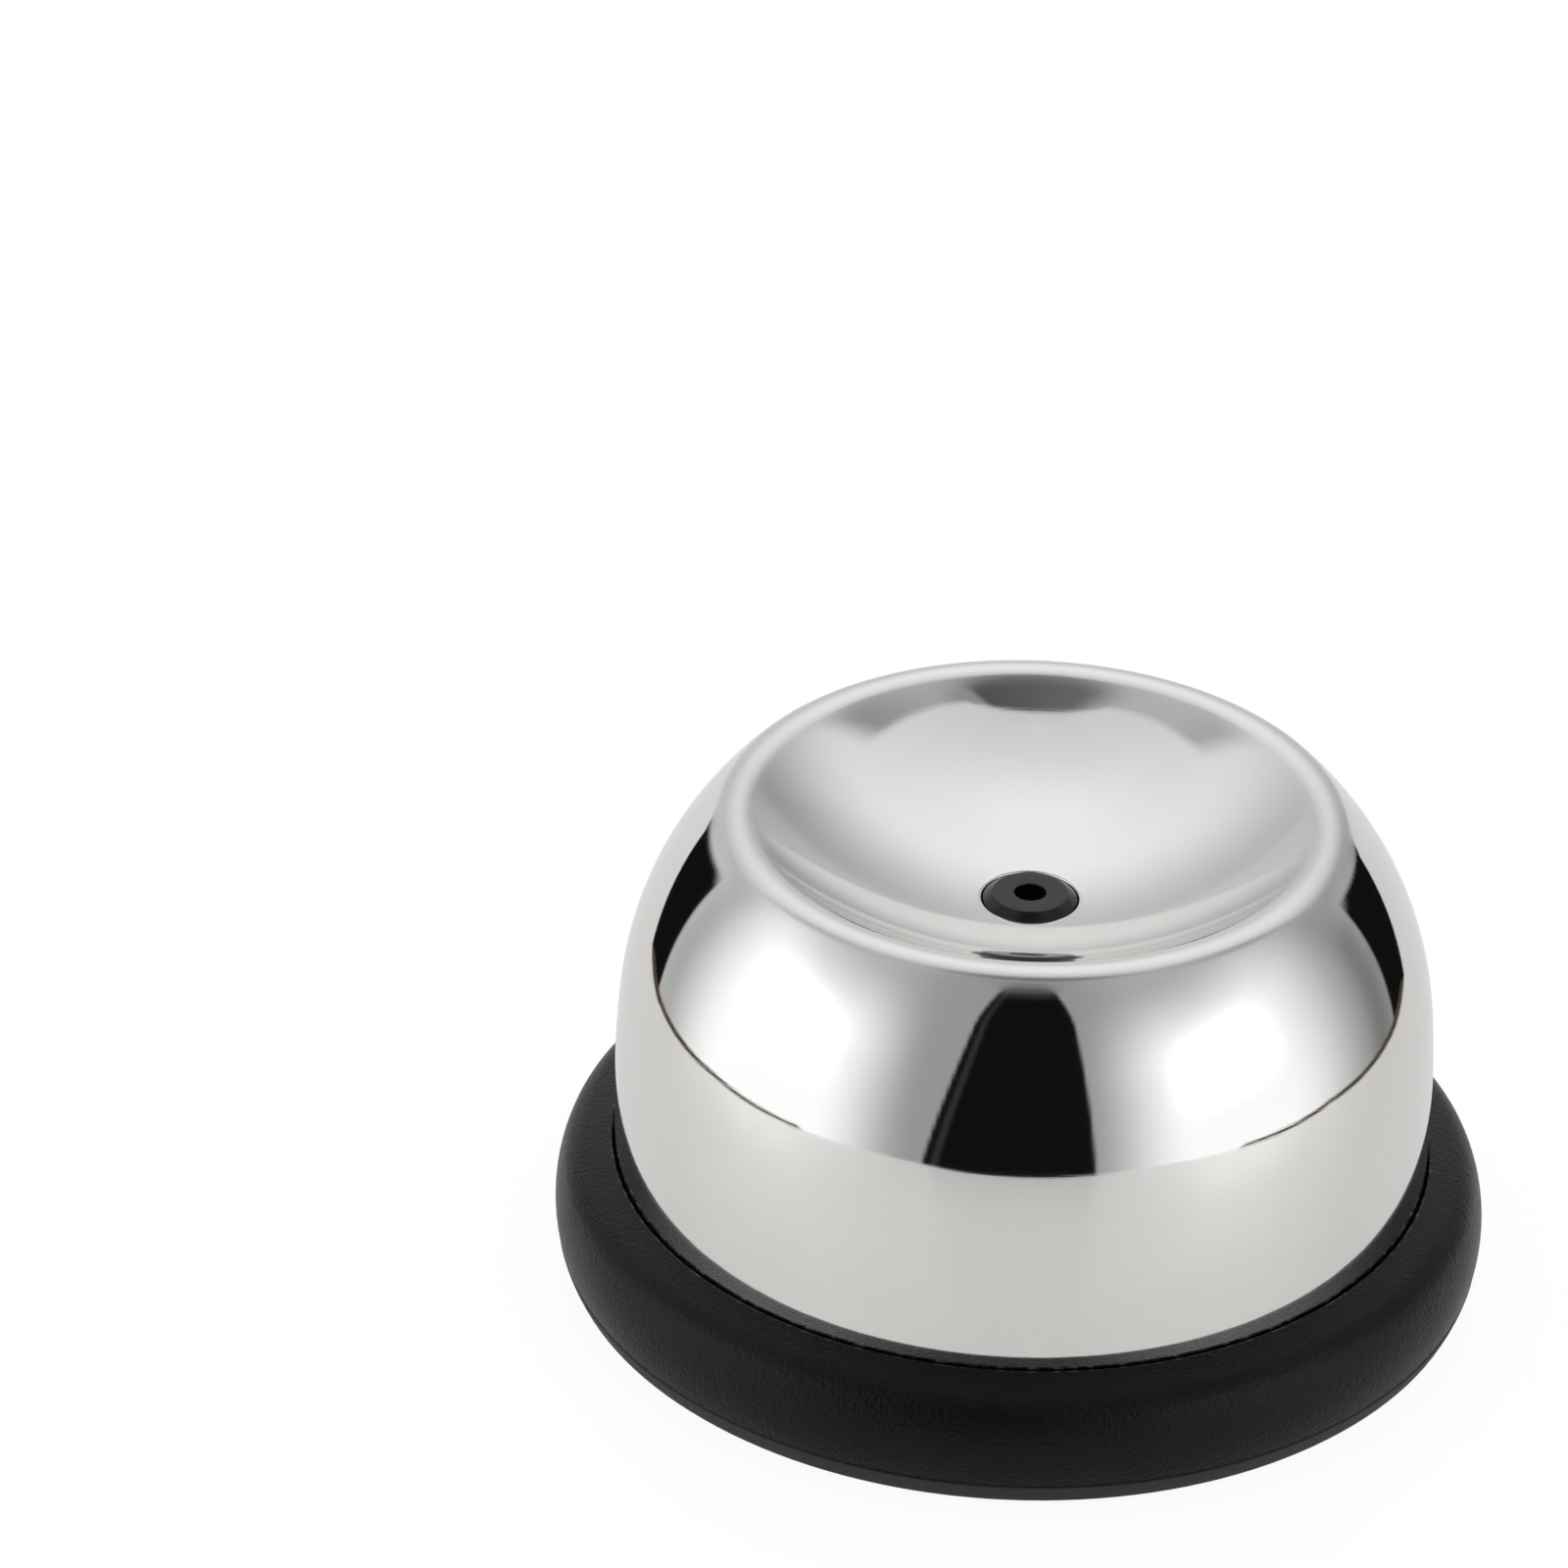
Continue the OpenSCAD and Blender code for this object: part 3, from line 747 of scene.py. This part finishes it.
def make_spring_tree():
    tree = bpy.data.node_groups.new("Spring", "GeometryNodeTree")
    add_socket(tree, "Start", "INPUT", "Geometry")
    for name in ("Turns", "Coil Radius", "Wire Radius", "Closed Pitch", "Open Pitch", "Foot", "Head"):
        add_socket(tree, name, "INPUT", "Float")
    add_socket(tree, "Steps Per Turn", "INPUT", "Int")
    add_socket(tree, "Finish", "INPUT", "Material")
    add_socket(tree, "Wire", "OUTPUT", "Geometry")
    link = tree.links.new
    given = tree.nodes.new("NodeGroupInput").outputs
    path = tree.nodes.new("GeometryNodeMeshLine")
    steps = add_math(tree, "MULTIPLY", given["Turns"], given["Steps Per Turn"])
    link(add_math(tree, "ADD", steps, 1), path.inputs["Count"])
    index = tree.nodes.new("GeometryNodeInputIndex").outputs[0]
    turn_number = add_math(tree, "DIVIDE", index, given["Steps Per Turn"])
    angle = add_math(tree, "MULTIPLY", turn_number, 2 * math.pi)
    first = add_math(tree, "MINIMUM", turn_number, 1)
    last_start = add_math(tree, "SUBTRACT", given["Turns"], 1)
    last = add_math(tree, "MAXIMUM", add_math(tree, "SUBTRACT", turn_number, last_start), 0)
    middle = add_math(tree, "SUBTRACT", add_math(tree, "SUBTRACT", turn_number, first), last)
    closed = add_math(tree, "MULTIPLY", add_math(tree, "ADD", first, last), given["Closed Pitch"])
    height = add_math(tree, "ADD", closed, add_math(tree, "MULTIPLY", middle, given["Open Pitch"]))
    start = add_math(tree, "ADD", given["Foot"], add_math(tree, "MULTIPLY", given["Wire Radius"], 0.5))
    place = tree.nodes.new("ShaderNodeCombineXYZ")
    coil = given["Coil Radius"]
    link(add_math(tree, "MULTIPLY", coil, add_math(tree, "COSINE", angle)), place.inputs["X"])
    link(add_math(tree, "MULTIPLY", coil, add_math(tree, "SINE", angle)), place.inputs["Y"])
    link(add_math(tree, "ADD", start, height), place.inputs["Z"])
    wind = tree.nodes.new("GeometryNodeSetPosition")
    link(path.outputs[0], wind.inputs["Geometry"])
    link(place.outputs[0], wind.inputs["Position"])
    curve = tree.nodes.new("GeometryNodeMeshToCurve")
    link(wind.outputs[0], curve.inputs[0])
    section = tree.nodes.new("GeometryNodeCurvePrimitiveCircle")
    section.inputs["Resolution"].default_value = 12
    link(given["Wire Radius"], section.inputs["Radius"])
    tube = tree.nodes.new("GeometryNodeCurveToMesh")
    tube.inputs["Fill Caps"].default_value = True
    link(curve.outputs[0], tube.inputs["Curve"])
    link(section.outputs[0], tube.inputs["Profile Curve"])
    point = tree.nodes.new("ShaderNodeSeparateXYZ")
    link(tree.nodes.new("GeometryNodeInputPosition").outputs[0], point.inputs[0])
    above_foot = add_math(tree, "MAXIMUM", point.outputs["Z"], given["Foot"])
    ground = add_math(tree, "MINIMUM", above_foot, given["Head"])
    flat = tree.nodes.new("ShaderNodeCombineXYZ")
    link(point.outputs["X"], flat.inputs["X"])
    link(point.outputs["Y"], flat.inputs["Y"])
    link(ground, flat.inputs["Z"])
    grind = tree.nodes.new("GeometryNodeSetPosition")
    link(tube.outputs[0], grind.inputs["Geometry"])
    link(flat.outputs[0], grind.inputs["Position"])
    realize = tree.nodes.new("GeometryNodeRealizeInstances")
    link(grind.outputs[0], realize.inputs[0])
    paint = tree.nodes.new("GeometryNodeSetMaterial")
    link(realize.outputs[0], paint.inputs["Geometry"])
    link(given["Finish"], paint.inputs["Material"])
    link(paint.outputs[0], tree.nodes.new("NodeGroupOutput").inputs[0])
    return tree


turns, wire_d, coil_d, closed_pitch = 9.0, 0.8, 10.0, 1.3
spring_l = guide_flange_z - floor_top
open_pitch = (spring_l - wire_d / 2 - 2 * closed_pitch) / (turns - 2)
spring_sizes = {
    "Turns": turns,
    "Coil Radius": coil_d / 2 * MM,
    "Wire Radius": wire_d / 2 * MM,
    "Closed Pitch": closed_pitch * MM,
    "Open Pitch": open_pitch * MM,
    "Foot": floor_top * MM,
    "Head": guide_flange_z * MM,
    "Steps Per Turn": 28,
    "Finish": spring_steel,
}
spring_start = bpy.data.meshes.new("spring_start")
spring = smooth(run_tree("spring", make_spring_tree(), spring_start, spring_sizes), sharp_angle=60)
fit(spring, "base", "return_spring")
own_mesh(spring)

# %% Finish of the screw, which keeps its CAD shape
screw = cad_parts["holder_screw"]
screw.data.materials.clear()
screw.data.materials.append(screw_steel)
print("screw finish:", screw.data.materials[0].name)

# %% [markdown]
# ## Camera
# The camera stands half a metre away, a little over thirty degrees above the table, with a long lens.
# It aims past the tool to its upper left, so the tool sits low on the right of the picture, and it is
# turned about its own axis by one degree.

# %% Camera at the photograph's angle
camera_place = Vector((-0.25, -413.82, 279.96)) * MM
camera_aim = Vector((-17.03, 0.0, 36.34)) * MM
camera_roll = math.radians(1.13)

camera = bpy.data.objects.new("camera", bpy.data.cameras.new("camera"))
camera.data.sensor_width = 36.0
camera.data.lens = 162.1
camera.location = camera_place
camera.rotation_mode = "QUATERNION"
aimed = (camera_aim - camera_place).to_track_quat("-Z", "Y")
camera.rotation_quaternion = aimed @ Quaternion((0, 0, 1), camera_roll)
scene.collection.objects.link(camera)
scene.camera = camera
print("camera distance: %.0f mm" % ((camera_place - camera_aim).length * 1000))

# %% [markdown]
# ## Light tent
# A mirror needs a room to mirror. Small bright things are photographed in a tent of white cloth that is
# lit from both sides, with a slit in front for the lens. The tent here is a sphere that glows by
# direction: bright on both sides, pale overhead and behind, dim on the cloth over the lens, and black
# in the slit and in the two open corners behind. Its brightness is a short rule of the direction,
# stored on the points of the sphere.

# %% Ramps between one brightness and the next


def step_up(low, high, value):
    """0 below low, 1 above high, and a smooth ramp between."""
    share = min(max((value - low) / (high - low), 0.0), 1.0)
    return share * share * (3 - 2 * share)


def between(low, high, value, soft_low, soft_high):
    """1 between low and high, with a soft ramp outside each end."""
    return step_up(low - soft_low, low, value) * (1 - step_up(high, high + soft_high, value))


def blend(first, second, share):
    return first + (second - first) * share


print("half way up a ramp:", step_up(0, 2, 1))

# %% Openings and dark cloth of the tent, in degrees
slit_left, slit_right, slit_soft = -24.0, 19.3, 0.8
slit_lean_left, slit_lean_right, slit_round_from = 0.17, 0.05, 40
hem_in, hem_w, hem_light = 2.2, 1.0, 0.08
gap_near, gap_far, gap_lean, gap_foot = 123, 143, 1.6, -2.5


def lens_slit(azimuth, elevation):
    """1 in the slit in front, which is a little wider at the table and has a hem on its left."""
    rounding = 0.03 * max(elevation - slit_round_from, 0) ** 2
    left = slit_left + slit_lean_left * elevation + rounding
    right = max(slit_right - slit_lean_right * elevation - rounding, left)
    hem_start = left + hem_in
    hem = hem_light * between(hem_start, hem_start + hem_w, azimuth, slit_soft, slit_soft)
    inside = between(left, right, azimuth, slit_soft, slit_soft)
    return inside * (1 - hem) * (1 - step_up(50, 60, elevation))


def lens_hood(azimuth, elevation):
    """1 on the dark cloth over the lens, which ends in a fold on the right and fades on the left."""
    left = step_up(-78, -41, azimuth)
    right = 1 - 0.6 * step_up(54, 60, azimuth) - 0.4 * step_up(66, 84, azimuth)
    return min(left, right) * step_up(62, 72, elevation)


def corner_gap(azimuth, elevation):
    """1 in the two open corners behind, which close towards the roof."""
    far_edge = max(gap_far - gap_lean * max(elevation, gap_foot), gap_near)
    return between(gap_near, far_edge, abs(azimuth), 1, 1) * (1 - step_up(9, 14, elevation))


print("slit at the horizon: %.2f" % lens_slit(0, 0))

# %% Walls and roof of the tent
cloth_light, glow_light, lamp_light, hood_light = 0.36, 0.86, 0.9, 0.125
roof_middle, roof_back, roof_front, roof_side = 0.77, 0.25, 0.09, 83.3
back_right, back_left = 0.66, 0.64


def side_walls(azimuth, elevation):
    """Cloth with a lamp behind it on each side, and a dim corner on the right."""
    glow = between(-88, -58, azimuth, 34, 30) + between(48, 74, azimuth, 33, 41)
    lamps = between(-78, -68, azimuth, 22, 22) ** 2 + between(56, 66, azimuth, 22, 22) ** 2
    light = glow_light * glow * (1 - 0.85 * step_up(22, 50, elevation))
    light += lamp_light * lamps * between(14, 18, elevation, 14, 22) ** 2
    corner = 0.18 * step_up(106, 122, azimuth) * (1 - step_up(8, 20, elevation))
    return cloth_light - 0.0004 * azimuth + light - corner


def roof_light(side, elevation):
    """Pale cloth overhead, brightest towards the back and a little dimmer over the front."""
    back = roof_back * step_up(85, 175, side) * (1 - step_up(64, 92, elevation))
    front = roof_front * (1 - step_up(30, 110, side)) * (1 - step_up(82, 90, elevation))
    return roof_middle + back - front


def roof_edge(side):
    """Where the roof starts: a straight edge in front, and a curve along the sides."""
    straight = math.degrees(math.atan(8.6 * math.cos(math.radians(min(side, 89)))))
    return max(straight, roof_side - 0.0023 * side * side)


def back_wall(azimuth, elevation):
    """Cloth behind, dim above the horizon and dimmest on the right, which runs up into the roof."""
    side = abs(azimuth)
    turned = 180 - side
    right = back_right - 0.0085 * min(turned, 35)
    left = back_left - 0.0028 * min(turned, 25)
    low = right if azimuth > 0 else left
    low += 0.06 * between(6, 13, elevation, 6, 5)
    return blend(low, roof_light(side, elevation), step_up(16, 49, elevation))


print("left wall: %.2f, right wall: %.2f" % (side_walls(-70, 10), side_walls(70, 10)))

# %% How bright the tent is in each direction
least_light = 0.006


def tent_light(azimuth, elevation):
    """Brightness by direction, in degrees: azimuth 0 is towards the lens, elevation 0 the horizon."""
    side = abs(azimuth)
    hood = hood_light - 0.0006 * azimuth
    front = blend(side_walls(azimuth, elevation), hood, lens_hood(azimuth, elevation))
    blur = 0.8 + 0.012 * max(side - 45, 0)
    above_edge = step_up(-blur, blur, elevation - roof_edge(side))
    front = blend(front, roof_light(side, elevation), above_edge)
    forward = 7 * step_up(8, 24, elevation)
    behind = step_up(112 - forward, 126 - forward, side)
    light = blend(front, back_wall(azimuth, elevation), behind)
    closed = (1 - lens_slit(azimuth, elevation)) * (1 - corner_gap(azimuth, elevation))
    return light * closed + least_light


print("tent overhead: %.2f, at the left lamp: %.2f" % (tent_light(0, 90), tent_light(-70, 10)))

# %% The tent
tent_r, tent_columns, tent_rows = 1.5, 480, 240


def make_tent():
    work = bmesh.new()
    bmesh.ops.create_uvsphere(work, u_segments=tent_columns, v_segments=tent_rows, radius=tent_r)
    mesh = bpy.data.meshes.new("tent")
    work.to_mesh(mesh)
    work.free()
    light = mesh.attributes.new("light", "FLOAT", "POINT")
    for vertex in mesh.vertices:
        x, y, z = vertex.co.normalized()
        azimuth = math.degrees(math.atan2(x, -y))
        light.data[vertex.index].value = tent_light(azimuth, math.degrees(math.asin(z)))
    mesh.shade_smooth()
    return mesh


def make_tent_cloth():
    material = bpy.data.materials.new("tent_cloth")
    material.use_nodes = True
    tree = material.node_tree
    tree.nodes.clear()
    stored = tree.nodes.new("ShaderNodeAttribute")
    stored.attribute_name = "light"
    seen = tree.nodes.new("ShaderNodeLightPath").outputs["Is Camera Ray"]
    strength = add_math(tree, "MAXIMUM", stored.outputs["Fac"], seen)
    glowing = add_node(tree, "Emission", Strength=strength)
    out = tree.nodes.new("ShaderNodeOutputMaterial")
    tree.links.new(glowing.outputs[0], out.inputs["Surface"])
    return material


tent = bpy.data.objects.new("tent", make_tent())
tent.data.materials.append(make_tent_cloth())
scene.collection.objects.link(tent)
print("tent points:", len(tent.data.vertices))

# %% [markdown]
# ## Table
# The table is a small white board, with a sheet that runs on behind it and a strip of dark wood along
# each side. The steel mirrors the board as a pale band, and its edge as a line. The camera sees it as
# white, with a faint shadow of the tool.

# %% What the table is made of
fibre_scale, sheet_rough, white_light = 400.0, 0.22, 1.06


def make_fibre_group():
    tree = bpy.data.node_groups.new("Sheet Fibre", "ShaderNodeTree")
    add_socket(tree, "Fibre Scale", "INPUT", "Float")
    add_socket(tree, "Fibre", "OUTPUT", "Float")
    given = tree.nodes.new("NodeGroupInput").outputs
    where = tree.nodes.new("ShaderNodeTexCoord").outputs["Object"]
    fibre = noise(tree, where, given["Fibre Scale"])
    tree.links.new(fibre, tree.nodes.new("NodeGroupOutput").inputs["Fibre"])
    return tree


fibre_group = make_fibre_group()


def make_table_sheet(name, dark, pale, shine, whiteness):
    """A sheet between two colours, turned partly white for the camera and for a mirror.

    Whiteness is the share of white that the camera sees, and shine the share that a mirror sees.
    """
    material = bpy.data.materials.new(name)
    material.use_nodes = True
    tree = material.node_tree
    tree.nodes.clear()
    fibre = place_group(tree, fibre_group, Fibre_Scale=fibre_scale)["Fibre"]
    sheet_colour = mix_colours(tree, fibre, dark, pale)
    card = add_node(tree, "BsdfPrincipled", Base_Color=sheet_colour, Roughness=sheet_rough)
    card.inputs["Specular IOR Level"].default_value = 2 * shine
    white = add_node(tree, "Emission", Strength=white_light)
    path = tree.nodes.new("ShaderNodeLightPath").outputs
    seen = add_math(tree, "MULTIPLY", path["Is Camera Ray"], whiteness)
    mirrored = add_math(tree, "MULTIPLY", path["Is Glossy Ray"], shine)
    both = tree.nodes.new("ShaderNodeMixShader")
    tree.links.new(add_math(tree, "MAXIMUM", seen, mirrored), both.inputs[0])
    tree.links.new(card.outputs[0], both.inputs[1])
    tree.links.new(white.outputs[0], both.inputs[2])
    out = tree.nodes.new("ShaderNodeOutputMaterial")
    tree.links.new(both.outputs[0], out.inputs["Surface"])
    return material


paper = make_table_sheet(
    "table_paper", dark=(0.89, 0.862, 0.835, 1), pale=(0.92, 0.896, 0.872, 1), shine=0.35, whiteness=0.88
)
wood = make_table_sheet(
    "table_wood", dark=(0.10, 0.065, 0.05, 1), pale=(0.16, 0.11, 0.085, 1), shine=0.0, whiteness=1.0
)
print("table materials:", paper.name, wood.name)

# %% The white board
table_z = -0.05
board_front = [(0, -205), (95, -200), (128, -165)]
board_side = [(136, -95), (131, -17), (100, 40), (97, 66)]
board_back = [(476, 618)]
board_half = board_front + board_side + board_back
board = board_half + [(-x, y) for x, y in board_half[:0:-1]]
board_points = [(x * MM, y * MM, table_z * MM) for x, y in board]
table_mesh = bpy.data.meshes.new("table")
table_mesh.from_pydata(board_points, [], [tuple(range(len(board)))])
table_mesh.materials.append(paper)
table = bpy.data.objects.new("table", table_mesh)
scene.collection.objects.link(table)
print("table corners:", len(board))

# %% Wooden edge beside the table
edge_w, edge_z = 12.0, 2 * table_z
edge_points = []
edge_faces = []
for side in (-1, 1):
    start = len(edge_points)
    for x, y in board_side:
        edge_points.append((side * x * MM, y * MM, edge_z * MM))
        edge_points.append((side * (x + edge_w) * MM, y * MM, edge_z * MM))
    for first in range(start, len(edge_points) - 2, 2):
        edge_faces.append((first, first + 1, first + 3, first + 2))
edge_mesh = bpy.data.meshes.new("table_edge")
edge_mesh.from_pydata(edge_points, [], edge_faces)
edge_mesh.materials.append(wood)
edge = bpy.data.objects.new("table_edge", edge_mesh)
scene.collection.objects.link(edge)
print("table edge faces:", len(edge_faces))

# %% [markdown]
# ## World and view
# The world is black, because the tent gives all the light. Near its rim the dish mirrors itself several
# times, so light may be mirrored more often than Blender allows by itself.

# %% World and view
mirror_bounces = 10
world = bpy.data.worlds.new("dark_room")
world.use_nodes = True
world.node_tree.nodes["Background"].inputs["Color"].default_value = (0, 0, 0, 1)
scene.world = world
scene.view_settings.view_transform = "Standard"
scene.cycles.glossy_bounces = mirror_bounces
print("view transform:", scene.view_settings.view_transform)
